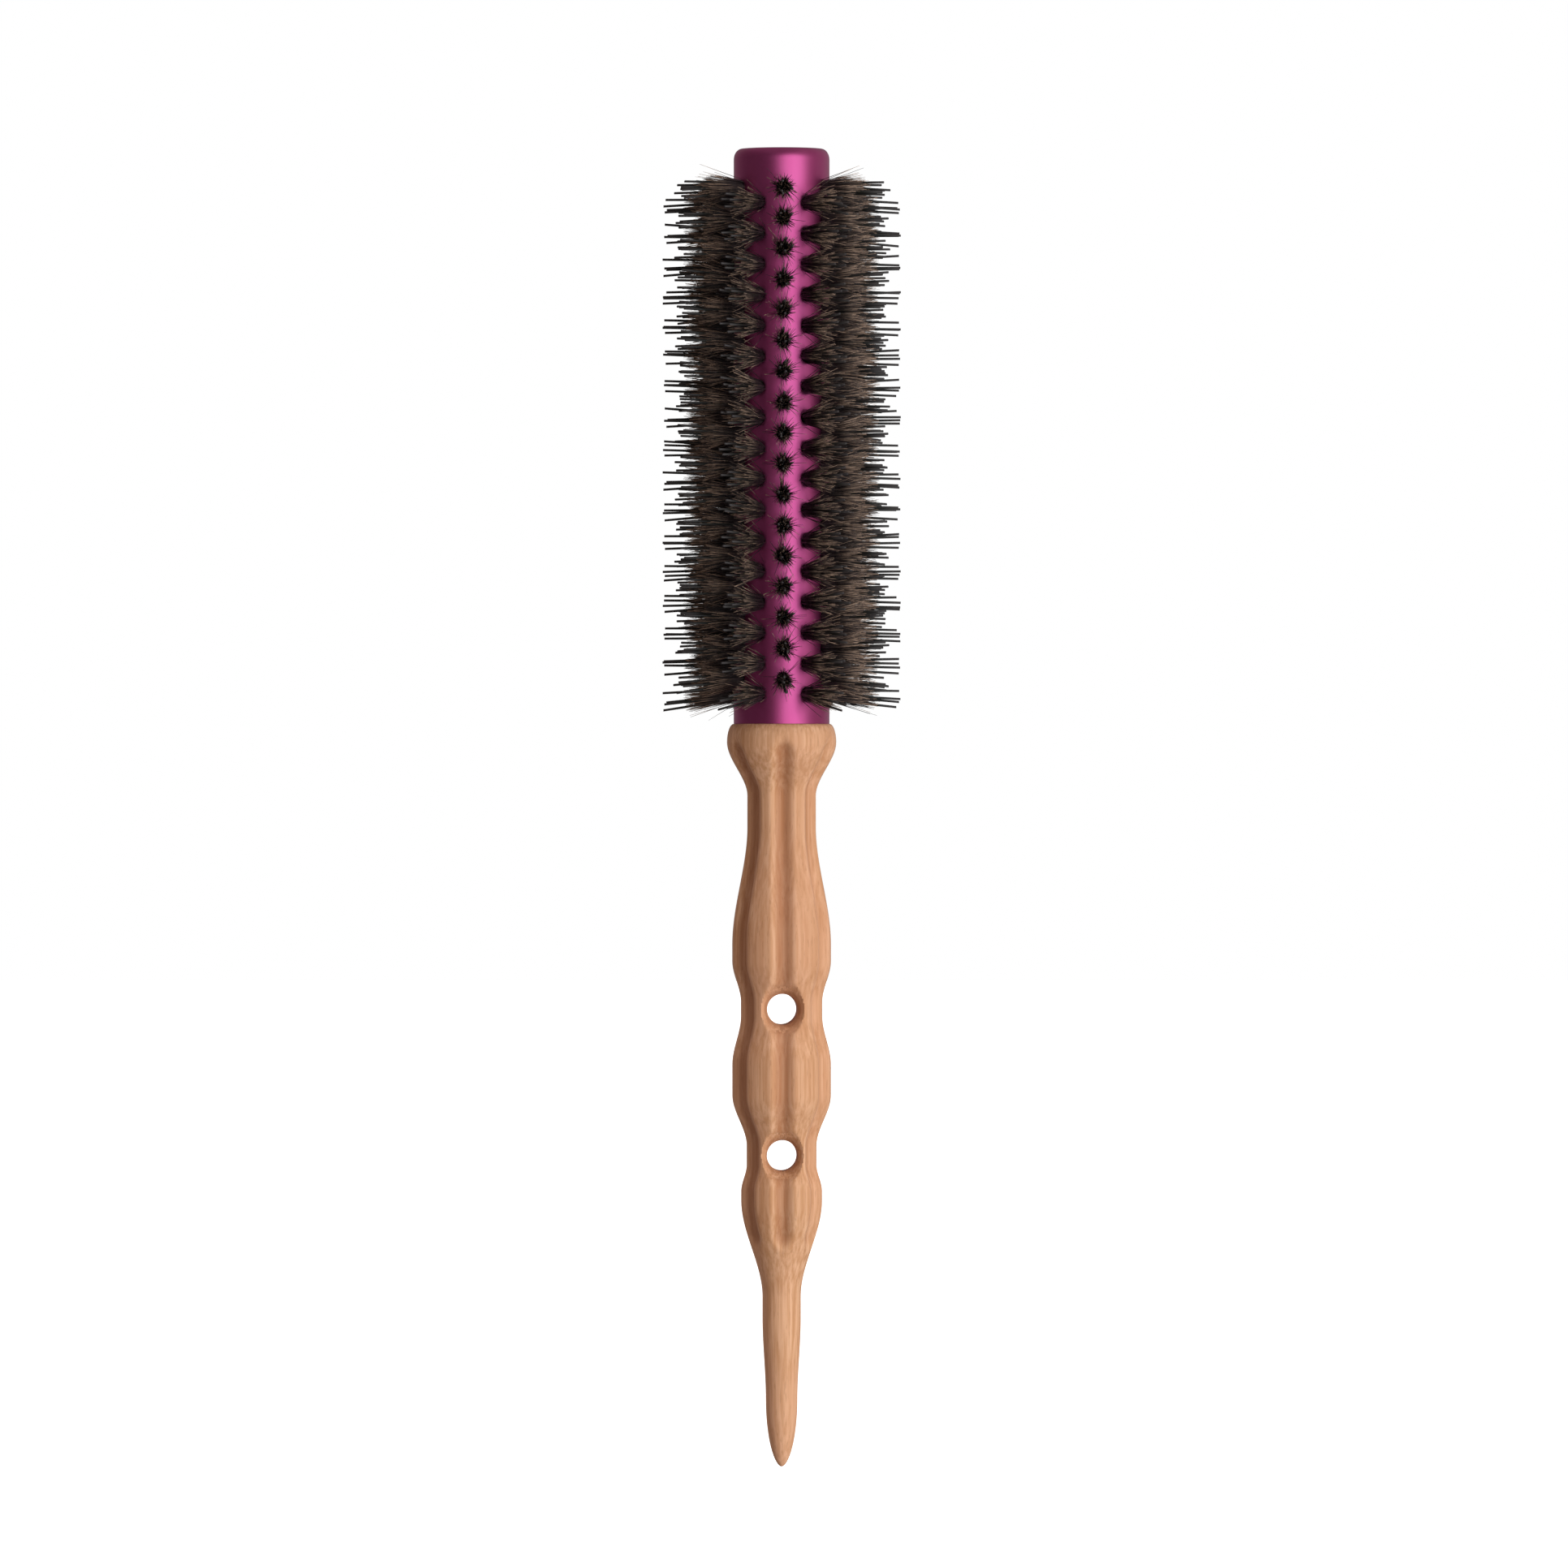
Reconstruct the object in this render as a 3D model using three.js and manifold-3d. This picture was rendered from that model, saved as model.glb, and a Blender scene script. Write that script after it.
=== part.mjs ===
// Round barrel hair brush, in millimetres. +Z runs up the brush from the pointed tail to the front of the
// barrel, and -Y is the side that the first row of tufts and the cross holes of the handle face. The origin
// is on the axis, in the middle of the handle's upper belly, where the hand closes round it.
//
// The handle is one turned and fluted piece of beech with a spigot. The barrel is a perforated aluminium
// sleeve with its front edge rolled in. Twelve steel channels lie inside it, each holding a row of tufts
// on a flat anchor band, and the tufts stand out through the holes. A wooden core goes in last, from the
// front: its flats back the channels, its head stops them, and its bore is glued over the spigot.
import * as THREE from "three";
import { mergeVertices } from "three/addons/utils/BufferGeometryUtils.js";
import Module from "manifold-3d";

const wasm = await Module();
wasm.setup();

// ---------------------------------------------------------------- driving dimensions
const GAP = 0.3; // clearance between two pieces that seat on each other

// Sleeve: an aluminium tube, with its front edge rolled in to a lip.
const BARREL_RADIUS = 10;
const BARREL_LENGTH = 120;
const SLEEVE_WALL = 1;
const LIP_ROUND = 2.3; // outer rounding of the lip
const LIP_WIDTH = 2.6; // from the outside of the barrel to the opening of the lip
const LIP_DEPTH = 4; // how far the rolled edge runs back into the barrel
const LIP_SHEET = 0.8; // thickness of the rolled edge

// Tufts: boar bristle with a few longer nylon pins, in rows that are staggered by half a pitch.
const ROWS = 12;
const TUFT_PITCH = 6.4;
const FIRST_TUFT = 6.1; // from the shoulder to the first tuft of the lower rows
const BARE_FRONT = 8; // least length in front of the last tuft of the upper rows
const BOAR_REACH = 10.6; // from the sleeve to the tips of the boar bristle
const NYLON_REACH = 15; // from the sleeve to the tips of the nylon pins
const TUFT_TIP_RADIUS = 2; // of the boar bristle, where it has fanned out
const BAND_THICKNESS = 0.6; // flat anchor band under the tufts of a row

// Channels: folded steel sheet.
const CHANNEL_HEIGHT = 2.4;
const CHANNEL_SHEET = 0.45;
const CHANNEL_OVERRUN = 2; // of a channel past the middle of its last tuft

// Core: a wooden tube, twelve-sided where the channels lie.
const CORE_WALL = 1.5; // behind a channel
const CORE_RECESS = 1; // of the core's end face below the top of the lip
const CORE_CHAMFER = 0.4;

// Handle. Each land of the outline has the length of the slope that leads down to it, its own length and
// its radius.
const SPIGOT_LENGTH = 30;
const SPIGOT_CHAMFER = 0.8;
const COLLAR = { slope: 3.8, length: 0, radius: BARREL_RADIUS + 1.4 };
const NECK = { slope: 11.2, length: 6.5, radius: 7.15 };
const UPPER_BELLY = { slope: 24.5, length: 3.5, radius: 10.3 };
const UPPER_NOTCH = { slope: 8.5, length: 3, radius: 8.5 };
const MIDDLE_BELLY = { slope: 10, length: 6.5, radius: 10.3 };
const LOWER_NOTCH = { slope: 10.5, length: 4, radius: 7.3 };
const LOWER_BELLY = { slope: 5.5, length: 2, radius: 8.45 };
const TAIL_ROOT = { slope: 20, length: 4.5, radius: 4 };
const TAIL_END = { slope: 17, length: 0, radius: 3.3 };
const TIP_LENGTH = 14;
const TIP_FULLNESS = 0.55; // 0.5 is an ellipse, and a higher number is a sharper tip

const FLUTES = 6;
const FLUTE_DEPTH = 1.25;
const FLUTE_HALF_WIDTH = 2.8;
const FLUTE_START = 2; // below the shoulder
const FLUTE_RUNOUT = 4; // length over which a flute deepens or fades
const FLUTE_PAST_BELLY = 11; // of a flute past the end of the lower belly
const CROSS_HOLE_RADIUS = 3.2;
const CROSS_HOLE_SINK = 3; // depth of the cone that each mouth opens in
const CROSS_HOLE_SPREAD = 0.7; // by which that cone widens per mm

// Facets of the curved faces.
const SLEEVE_SIDES = 2 * ROWS; // so that each row of holes lies on flats
const CORE_SIDES = 48;
const BORE_SIDES = 24;
const TUFT_SIDES = 6;
const HANDLE_SIDES = 36;
const CROSS_HOLE_SIDES = 20;
const SLOPE_STEPS = 4; // per slope of the handle's outline

// ---------------------------------------------------------------- worked out from them
const rad = THREE.MathUtils.degToRad;
const rowAngle = (2 * Math.PI) / ROWS;
const isUpperRow = (row) => row % 2 === 0;
const tuftsPerRow = 1 + Math.floor((BARREL_LENGTH - BARE_FRONT - FIRST_TUFT) / TUFT_PITCH - 1 / 2);
const tuftHeight = (row, n) => FIRST_TUFT + (isUpperRow(row) ? TUFT_PITCH / 2 : 0) + n * TUFT_PITCH;

const sleeveInside = BARREL_RADIUS - SLEEVE_WALL;
const lipOpening = BARREL_RADIUS - LIP_WIDTH;
const channelTop = sleeveInside * Math.cos(Math.PI / SLEEVE_SIDES) - GAP;
const channelBase = channelTop - CHANNEL_HEIGHT;
const channelWidth = 2 * channelBase * Math.tan(rowAngle / 2) - GAP;
const channelEnd = tuftHeight(0, tuftsPerRow - 1) + CHANNEL_OVERRUN;
const bandBase = channelBase + CHANNEL_SHEET + GAP;
const bandWidth = channelWidth - 2 * CHANNEL_SHEET - 2 * GAP;
const tuftRoot = bandBase + BAND_THICKNESS / 2;
const tuftRootRadius = bandWidth / 2;
const tuftFlare = (TUFT_TIP_RADIUS - tuftRootRadius) / (BARREL_RADIUS + BOAR_REACH - tuftRoot);
const holeRadius = tuftRootRadius + tuftFlare * (BARREL_RADIUS - tuftRoot) + GAP;
const coreFlat = channelBase - GAP;
const coreBoreRadius = coreFlat - CORE_WALL;
const coreHeadRadius = lipOpening * Math.cos(Math.PI / SLEEVE_SIDES) - GAP;
const spigotRadius = coreBoreRadius * Math.cos(Math.PI / BORE_SIDES) - GAP;

// ---------------------------------------------------------------- helpers
const point = (x, y) => new THREE.Vector2(x, y);

// A solid of revolution about Z. The profile is a list of points (radius, height).
function turned(profile, sides, startAngle = 0) {
  return new THREE.LatheGeometry(profile, sides, startAngle).rotateX(Math.PI / 2);
}

// A closed geometry as a manifold-3d solid, and back.
function solid(geometry) {
  const bare = geometry.clone();
  bare.deleteAttribute("normal");
  bare.deleteAttribute("uv");
  const merged = mergeVertices(bare, 1e-4);
  return new wasm.Manifold(
    new wasm.Mesh({
      numProp: 3,
      vertProperties: new Float32Array(merged.getAttribute("position").array),
      triVerts: new Uint32Array(merged.index.array),
    }),
  );
}

function geometryOf(manifold) {
  const mesh = manifold.getMesh();
  const geometry = new THREE.BufferGeometry();
  geometry.setAttribute("position", new THREE.BufferAttribute(mesh.vertProperties, 3));
  geometry.setIndex(new THREE.BufferAttribute(mesh.triVerts, 1));
  geometry.computeVertexNormals();
  return geometry;
}

function piece(name, geometry, material) {
  const mesh = new THREE.Mesh(geometry, material);
  mesh.name = name;
  return mesh;
}

const finish = (color, roughness, metalness) =>
  new THREE.MeshStandardMaterial({ color, roughness, metalness });
const beech = finish(0xd2a67c, 0.55, 0);
const coreWood = finish(0xd0a060, 0.6, 0);
const anodised = finish(0xc83c8c, 0.35, 1);
const steel = finish(0x9a9a98, 0.4, 1);
const bristle = finish(0x3a2e26, 0.6, 0);

// ---------------------------------------------------------------- handle
const lands = [
  COLLAR,
  NECK,
  UPPER_BELLY,
  UPPER_NOTCH,
  MIDDLE_BELLY,
  LOWER_NOTCH,
  LOWER_BELLY,
  TAIL_ROOT,
  TAIL_END,
];

// How far below the shoulder a land starts.
function landStart(land) {
  const above = lands.slice(0, lands.indexOf(land));
  return above.reduce((sum, each) => sum + each.slope + each.length, land.slope);
}
const landEnd = (land) => landStart(land) + land.length;
const landMiddle = (land) => landStart(land) + land.length / 2;

// The outline as points (radius, distance below the shoulder): a quarter ellipse into the collar, eased
// slopes between the lands, and a rounded tip.
function handleOutline() {
  const outline = [];
  for (let i = 0; i < SLOPE_STEPS; i++) {
    const t = i / SLOPE_STEPS;
    const radius = BARREL_RADIUS + (COLLAR.radius - BARREL_RADIUS) * Math.sqrt(1 - (1 - t) ** 2);
    outline.push(point(radius, t * COLLAR.slope));
  }
  outline.push(point(COLLAR.radius, COLLAR.slope));
  lands.slice(1).forEach((land, i) => {
    const above = lands[i];
    for (let n = 1; n <= SLOPE_STEPS; n++) {
      const t = n / SLOPE_STEPS;
      const radius = above.radius + (land.radius - above.radius) * THREE.MathUtils.smoothstep(t, 0, 1);
      outline.push(point(radius, landEnd(above) + t * land.slope));
    }
    if (land.length > 0) outline.push(point(land.radius, landEnd(land)));
  });
  for (let n = 1; n < SLOPE_STEPS; n++) {
    const t = Math.sin((Math.PI / 2) * (n / SLOPE_STEPS));
    outline.push(point(TAIL_END.radius * (1 - t * t) ** TIP_FULLNESS, landEnd(TAIL_END) + t * TIP_LENGTH));
  }
  outline.push(point(0, landEnd(TAIL_END) + TIP_LENGTH));
  return outline;
}

// Depth of the flutes at a place on the surface.
function fluteDepth(radius, angle, below) {
  const fluteEnd = landEnd(LOWER_BELLY) + FLUTE_PAST_BELLY;
  const ease = THREE.MathUtils.smoothstep;
  const deepens = ease(below, FLUTE_START, FLUTE_START + FLUTE_RUNOUT);
  const fades = ease(below, fluteEnd - FLUTE_RUNOUT, fluteEnd);
  const spacing = (2 * Math.PI) / FLUTES;
  const off = Math.abs(angle - spacing * Math.round(angle / spacing)) * radius;
  return FLUTE_DEPTH * deepens * (1 - fades) * Math.max(0, 1 - (off / FLUTE_HALF_WIDTH) ** 2);
}

// A hole across the handle along Y, with a cone at each mouth.
function crossHole(notch) {
  const reach = notch.radius + 2;
  const coneStart = notch.radius - CROSS_HOLE_SINK;
  const coneEnd = CROSS_HOLE_RADIUS + CROSS_HOLE_SPREAD * (reach - coneStart);
  const profile = [
    point(0, -reach),
    point(coneEnd, -reach),
    point(CROSS_HOLE_RADIUS, -coneStart),
    point(CROSS_HOLE_RADIUS, coneStart),
    point(coneEnd, reach),
    point(0, reach),
  ];
  const cutter = new THREE.LatheGeometry(profile, CROSS_HOLE_SIDES);
  return solid(cutter.translate(0, 0, -landMiddle(notch)));
}

function makeHandle() {
  const spigot = [
    point(0, SPIGOT_LENGTH),
    point(spigotRadius - SPIGOT_CHAMFER, SPIGOT_LENGTH),
    point(spigotRadius, SPIGOT_LENGTH - SPIGOT_CHAMFER),
    point(spigotRadius, 0),
  ];
  const outline = handleOutline().map((p) => point(p.x, -p.y));
  const body = turned([...spigot, ...outline].reverse(), HANDLE_SIDES);
  const places = body.getAttribute("position");
  for (let i = 0; i < places.count; i++) {
    const [x, y, z] = [places.getX(i), places.getY(i), places.getZ(i)];
    const radius = Math.hypot(x, y);
    if (z < 0 && radius > 0) {
      const share = 1 - fluteDepth(radius, Math.atan2(x, -y), -z) / radius;
      places.setXY(i, x * share, y * share);
    }
  }
  const cut = solid(body).subtract(crossHole(UPPER_NOTCH)).subtract(crossHole(LOWER_NOTCH));
  const handle = piece("handle", geometryOf(cut), beech);
  return handle;
}

// ---------------------------------------------------------------- barrel
function arc(centreX, centreY, radius, from, to, steps) {
  return Array.from({ length: steps + 1 }, (_, i) => {
    const angle = rad(from + ((to - from) * i) / steps);
    return point(centreX + radius * Math.cos(angle), centreY + radius * Math.sin(angle));
  });
}

// The section of the sleeve: the wall, the rolled lip, and the edge that runs back inside the barrel.
function sleeveProfile() {
  const top = BARREL_LENGTH;
  const roll = point(BARREL_RADIUS - LIP_ROUND, top - LIP_ROUND);
  const innerRound = LIP_WIDTH - LIP_ROUND + LIP_SHEET / 2;
  const edgeBack = lipOpening + LIP_SHEET;
  const outside = arc(roll.x, roll.y, LIP_ROUND, 0, 90, 4).filter((p) => p.x > lipOpening + innerRound);
  const inside = arc(roll.x, roll.y, LIP_ROUND - SLEEVE_WALL, 90, 0, 3).filter((p) => p.x > edgeBack);
  const profile = [
    point(sleeveInside, GAP),
    point(BARREL_RADIUS, GAP),
    ...outside,
    ...arc(lipOpening + innerRound, top - innerRound, innerRound, 90, 180, 2),
    point(lipOpening, top - LIP_DEPTH),
    point(edgeBack, top - LIP_DEPTH),
    point(edgeBack, top - SLEEVE_WALL),
    ...inside,
  ];
  return [...profile, profile[0].clone()];
}

function makeSleeve() {
  const hole = new THREE.CylinderGeometry(holeRadius, holeRadius, 4 * SLEEVE_WALL, TUFT_SIDES);
  let sleeve = solid(turned(sleeveProfile(), SLEEVE_SIDES, Math.PI / SLEEVE_SIDES));
  for (let row = 0; row < ROWS; row++) {
    for (let n = 0; n < tuftsPerRow; n++) {
      const cutter = hole.clone().translate(0, -BARREL_RADIUS, tuftHeight(row, n));
      sleeve = sleeve.subtract(solid(cutter.rotateZ(row * rowAngle)));
    }
  }
  return piece("barrel_sleeve", geometryOf(sleeve), anodised);
}

function makeCore() {
  const shaftRadius = coreFlat / Math.cos(rowAngle / 2);
  const headStart = channelEnd + GAP;
  const end = BARREL_LENGTH - CORE_RECESS;
  const shaftProfile = [
    point(0, GAP),
    point(shaftRadius, GAP),
    point(shaftRadius, headStart + CORE_CHAMFER),
    point(0, headStart + CORE_CHAMFER),
  ];
  const shaft = turned(shaftProfile, ROWS, rowAngle / 2);
  const headProfile = [
    point(0, headStart),
    point(coreHeadRadius, headStart),
    point(coreHeadRadius, end - CORE_CHAMFER),
    point(coreHeadRadius - CORE_CHAMFER, end),
    point(0, end),
  ];
  const boreProfile = [
    point(0, 0),
    point(coreBoreRadius, 0),
    point(coreBoreRadius, end + CORE_RECESS),
    point(0, end + CORE_RECESS),
  ];
  const core = solid(shaft)
    .add(solid(turned(headProfile, CORE_SIDES)))
    .subtract(solid(turned(boreProfile, BORE_SIDES)));
  return piece("barrel_core", geometryOf(core), coreWood);
}

// A steel channel, open outwards, that faces -Y.
function makeChannel(name) {
  const half = channelWidth / 2;
  const slot = half - CHANNEL_SHEET;
  const floor = channelBase + CHANNEL_SHEET;
  const section = new THREE.Shape([
    point(-half, -channelBase),
    point(-half, -channelTop),
    point(-slot, -channelTop),
    point(-slot, -floor),
    point(slot, -floor),
    point(slot, -channelTop),
    point(half, -channelTop),
    point(half, -channelBase),
  ]);
  const geometry = new THREE.ExtrudeGeometry(section, { depth: channelEnd - GAP, bevelEnabled: false });
  return piece(name, geometry.translate(0, 0, GAP), steel);
}

// A row of tufts that faces -Y, on its anchor band.
function makeTufts(name, row) {
  const tuftProfile = [
    point(0, tuftRoot),
    point(tuftRootRadius, tuftRoot),
    point(TUFT_TIP_RADIUS, BARREL_RADIUS + BOAR_REACH),
    point(0, BARREL_RADIUS + NYLON_REACH),
  ];
  const tuft = new THREE.LatheGeometry(tuftProfile, TUFT_SIDES).rotateZ(Math.PI);
  const bandLength = channelEnd - 2 * GAP;
  const band = new THREE.BoxGeometry(bandWidth, BAND_THICKNESS, bandLength);
  let tufts = solid(band.translate(0, -bandBase - BAND_THICKNESS / 2, 2 * GAP + bandLength / 2));
  for (let n = 0; n < tuftsPerRow; n++) {
    tufts = tufts.add(solid(tuft.clone().translate(0, 0, tuftHeight(row, n))));
  }
  return piece(name, geometryOf(tufts), bristle);
}

// ---------------------------------------------------------------- assembly
const brush = new THREE.Group();
brush.position.z = landMiddle(UPPER_BELLY);
brush.add(makeHandle(), makeSleeve(), makeCore());
for (let row = 0; row < ROWS; row++) {
  const number = String(row + 1).padStart(2, "0");
  const station = new THREE.Group();
  station.rotation.z = row * rowAngle;
  station.add(makeChannel(`tuft_channel_${number}`), makeTufts(`tuft_row_${number}`, row));
  brush.add(station);
}

const part = new THREE.Group();
part.add(brush);
export default part;
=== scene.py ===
import math
import random

import bmesh
import bpy
from mathutils import Matrix, Vector, noise


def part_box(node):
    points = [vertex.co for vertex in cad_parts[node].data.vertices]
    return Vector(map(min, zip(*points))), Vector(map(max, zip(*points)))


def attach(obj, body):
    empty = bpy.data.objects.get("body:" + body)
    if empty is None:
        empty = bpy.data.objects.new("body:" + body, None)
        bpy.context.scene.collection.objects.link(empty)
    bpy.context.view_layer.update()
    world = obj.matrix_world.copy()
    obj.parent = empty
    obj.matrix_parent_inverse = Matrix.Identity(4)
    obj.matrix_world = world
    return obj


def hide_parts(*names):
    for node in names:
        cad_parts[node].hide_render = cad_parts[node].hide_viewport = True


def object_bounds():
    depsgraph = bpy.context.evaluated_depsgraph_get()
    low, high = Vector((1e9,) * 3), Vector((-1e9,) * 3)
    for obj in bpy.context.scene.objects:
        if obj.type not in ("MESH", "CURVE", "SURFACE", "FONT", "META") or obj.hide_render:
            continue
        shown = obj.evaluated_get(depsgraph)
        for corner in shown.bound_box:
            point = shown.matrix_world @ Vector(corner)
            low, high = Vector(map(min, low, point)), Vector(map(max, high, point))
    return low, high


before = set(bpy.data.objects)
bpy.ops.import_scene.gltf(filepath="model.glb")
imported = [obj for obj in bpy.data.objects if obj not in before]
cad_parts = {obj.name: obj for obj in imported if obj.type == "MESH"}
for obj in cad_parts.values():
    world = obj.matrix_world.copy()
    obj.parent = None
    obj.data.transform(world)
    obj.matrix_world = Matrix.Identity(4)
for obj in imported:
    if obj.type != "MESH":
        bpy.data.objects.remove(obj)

cad_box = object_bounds()

# ---------------------------------------------------------------- sizes
# Millimetres, in the brush's own frame: heights are above the shoulder where barrel and handle meet, Z
# runs along the axis, and the first row of tufts faces -Y. placed() turns a finished shape into metres.
MM = 0.001
GAP = 0.3
SEAT = 0.02  # left between the sleeve and the handle's shoulder, so that no light shows there
ROWS = 12
ROW_ANGLE = 2 * math.pi / ROWS

sleeve_low, sleeve_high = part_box("barrel_sleeve")
handle_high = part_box("handle")[1]
core_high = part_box("barrel_core")[1]
SHOULDER = sleeve_low.z - GAP * MM
BARREL_TOP = (sleeve_high.z - SHOULDER) / MM
BARREL_RADIUS = sleeve_high.x / MM / math.cos(ROW_ANGLE / 4)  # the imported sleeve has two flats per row
SLEEVE_WALL = 1.0
SLEEVE_INSIDE = BARREL_RADIUS - SLEEVE_WALL

TUFTS_PER_ROW = 17
TUFT_PITCH = 6.4
FIRST_TUFT = 6.1
HOLE_RADIUS = 1.3
HOLE_SIDES = 24
RIM_ROUND = 0.1
SIDES_PER_ROW = HOLE_SIDES // 4
SLEEVE_STEPS = ROWS * SIDES_PER_ROW

LIP_OPENING = 7.4
LIP_CREST = 8.3
LIP_OUTER_DROP = 2.3
LIP_INNER_DROP = 1.5
LIP_DEPTH = 4.0
LIP_SHEET = 0.8

CORE_TOP = (core_high.z - SHOULDER) / MM
CORE_RADIUS = core_high.x / MM
CORE_HEAD = 5.0
CORE_FLAT = 5.92
CORE_BORE = 4.42
CORE_CHAMFER = 0.4
MARK_RADIUS = 5.65  # of the ring of burnt marks on the core's end
MARK_HALF_WIDTH = 0.31
MARK_DASHES = 24  # that would fill the ring
MARK_DOTS = 36

BAND_WIDTH = 1.53
BAND_BASE = 6.97
BAND_THICKNESS = 0.6

SPIGOT_TOP = (handle_high.z - SHOULDER) / MM
SPIGOT_RADIUS = CORE_BORE - GAP
SPIGOT_CHAMFER = 0.8
COLLAR_SLOPE, COLLAR_RADIUS = 3.8, BARREL_RADIUS + 1.4
# The lands of the handle below its collar: length of the slope to a land, its own length, its radius.
LANDS = {
    "neck": (11.2, 6.5, 7.15),
    "upper belly": (24.5, 3.5, 10.3),
    "upper notch": (8.5, 3.0, 8.5),
    "middle belly": (10.0, 6.5, 10.3),
    "lower notch": (10.5, 4.0, 7.3),
    "lower belly": (5.5, 2.0, 8.45),
    "tail root": (20.0, 4.5, 4.0),
    "tail end": (17.0, 0.0, 3.3),
}
TIP_LENGTH = 14.0
TIP_FULLNESS = 0.55
FLUTES = 6
FLUTE_DEPTH = 1.3
FLUTE_HALF_WIDTH = 2.8
FLUTE_START = 2.0  # below the shoulder
FLUTE_RUNOUT = 4.0
FLUTE_END = 110.5
CROSS_HOLE_RADIUS = 3.2
CROSS_HOLE_SINK = 3.0  # depth of the cone at each mouth
CROSS_HOLE_SPREAD = 0.7  # by which the cone widens in each millimetre
CROSS_HOLES = ("upper notch", "lower notch")


# ---------------------------------------------------------------- camera, stage and light
VIEW_DISTANCE = 3.0  # metres, far enough to see both ends of the brush square on
VIEW_TURN = math.radians(-2)  # round the axis, from looking square at the first row of tufts
VIEW_OFFSET = 0.0005  # metres by which the camera stands off the axis
FRAME_SHARE = 1.19  # of the brush's length that the frame shows
CENTRE_SHARE = 0.482  # of that length from the front of the barrel to the middle of the frame
FLOOR_DROP = 0.022  # metres below the tip of the tail
WHITE = (1.0, 1.0, 1.0, 1.0)
KEY_AZIMUTH = math.radians(40)  # of the key light, to the right of the first row of tufts
KEY_LIGHT = 2.22
KEY_WIDTH = math.radians(36)
AMBIENT = 0.26  # light of the surround on the brush
WARM = (1.0, 0.8, 0.72, 1.0)
FILL = 0.5  # added to the surround behind and above the brush
MIRRORED = 0.085  # light of the surround in reflections
MIRRORED_RIGHT = 0.27
MIRRORED_FILL = 0.2  # share of the fill in them
GLOW = 1.5  # light of the spot that metal reflects as its highlight
COOL = (0.88, 0.98, 1.05, 1.0)
GLOW_AZIMUTH = math.radians(25)
GLOW_SPREAD = (math.cos(math.radians(42)), 1.0)


def make_camera():
    length = cad_box[1][2] - cad_box[0][2]
    lens = bpy.data.cameras.new("camera")
    lens.lens = lens.sensor_width * VIEW_DISTANCE / (FRAME_SHARE * length)
    camera = bpy.data.objects.new("camera", lens)
    place = Matrix.Rotation(VIEW_TURN, 3, "Z") @ Vector((VIEW_OFFSET, -VIEW_DISTANCE, 0))
    camera.location = (place.x, place.y, cad_box[1][2] - CENTRE_SHARE * length)
    camera.rotation_euler = (math.pi / 2, 0, VIEW_TURN)
    bpy.context.scene.collection.objects.link(camera)
    bpy.context.scene.camera = camera


# ---------------------------------------------------------------- shader helpers
class Shade:
    """One output of a shader node. Arithmetic on it adds Math nodes to the same tree."""

    def __init__(self, tree, socket=None):
        self.tree = tree
        self.socket = socket

    def node(self, kind, inputs=(), output=0, stops=(), **settings):
        """Adds a node and returns one of its outputs. Settings come first, then a ramp's stops."""
        made = self.tree.nodes.new("ShaderNode" + kind)
        for name, value in settings.items():
            setattr(made, name, value)
        if stops:
            elements = made.color_ramp.elements
            elements[0].position, elements[0].color = stops[0]
            elements[1].position, elements[1].color = stops[-1]
            for position, color in stops[1:-1]:
                elements.new(position).color = color
        for key, value in inputs.items() if isinstance(inputs, dict) else enumerate(inputs):
            if isinstance(value, Shade):
                self.tree.links.new(value.socket, made.inputs[key])
            else:
                made.inputs[key].default_value = value
        return Shade(self.tree, made.outputs[output])

    def math(self, operation, *terms):
        return self.node("Math", terms, operation=operation)

    def vector(self, operation, *terms, output="Vector"):
        return self.node("VectorMath", terms, output=output, operation=operation)

    def split(self):
        """The three numbers of a vector."""
        parts = self.node("SeparateXYZ", (self,)).socket.node
        return [Shade(self.tree, number) for number in parts.outputs]

    def __add__(self, other):
        return self.math("ADD", self, other)

    def __radd__(self, other):
        return self.math("ADD", other, self)

    def __sub__(self, other):
        return self.math("SUBTRACT", self, other)

    def __rsub__(self, other):
        return self.math("SUBTRACT", other, self)

    def __mul__(self, other):
        return self.math("MULTIPLY", self, other)

    def __rmul__(self, other):
        return self.math("MULTIPLY", other, self)

    def __pow__(self, other):
        return self.math("POWER", self, other)

    def absolute(self):
        return self.math("ABSOLUTE", self)

    def cosine(self):
        return self.math("COSINE", self)

    def over(self, low, high):
        """0 where this is under low, 1 where it is over high, smooth between. High may be the lower."""
        return self.node("MapRange", {0: self, 1: low, 2: high}, interpolation_type="SMOOTHSTEP")

    def mix(self, first, second):
        """The first colour where this is 0, and the second where it is 1."""
        return self.node("Mix", {0: self, 6: first, 7: second}, output=2, data_type="RGBA")


def srgb(red, green, blue):
    """A colour given as it is seen, 0 to 255 a channel, as the light that it stands for."""
    channels = [c / 255 for c in (red, green, blue)]
    light = [c / 12.92 if c <= 0.04045 else ((c + 0.055) / 1.055) ** 2.4 for c in channels]
    return (*light, 1.0)


def new_material(name, **even):
    """A Principled material. Returns it, a start for its nodes, and what joins a shade to a socket."""
    material = bpy.data.materials.new(name)
    material.use_nodes = True
    tree = material.node_tree
    shader = tree.nodes["Principled BSDF"]
    for socket, value in even.items():
        shader.inputs[socket.replace("_", " ")].default_value = value

    def feed(socket, shade):
        tree.links.new(shade.socket, shader.inputs[socket])

    return material, Shade(tree), feed


def grain(start, scale, detail=3.0, roughness=0.55):
    """Noise on the piece's own coordinates. Scale is per metre, along X, Y and Z."""
    place = start.node("TexCoord", output="Object")
    place = start.node("Mapping", {"Vector": place, "Scale": scale})
    settings = {"Vector": place, "Scale": 1.0, "Detail": detail, "Roughness": roughness}
    return start.node("TexNoise", settings)


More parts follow.
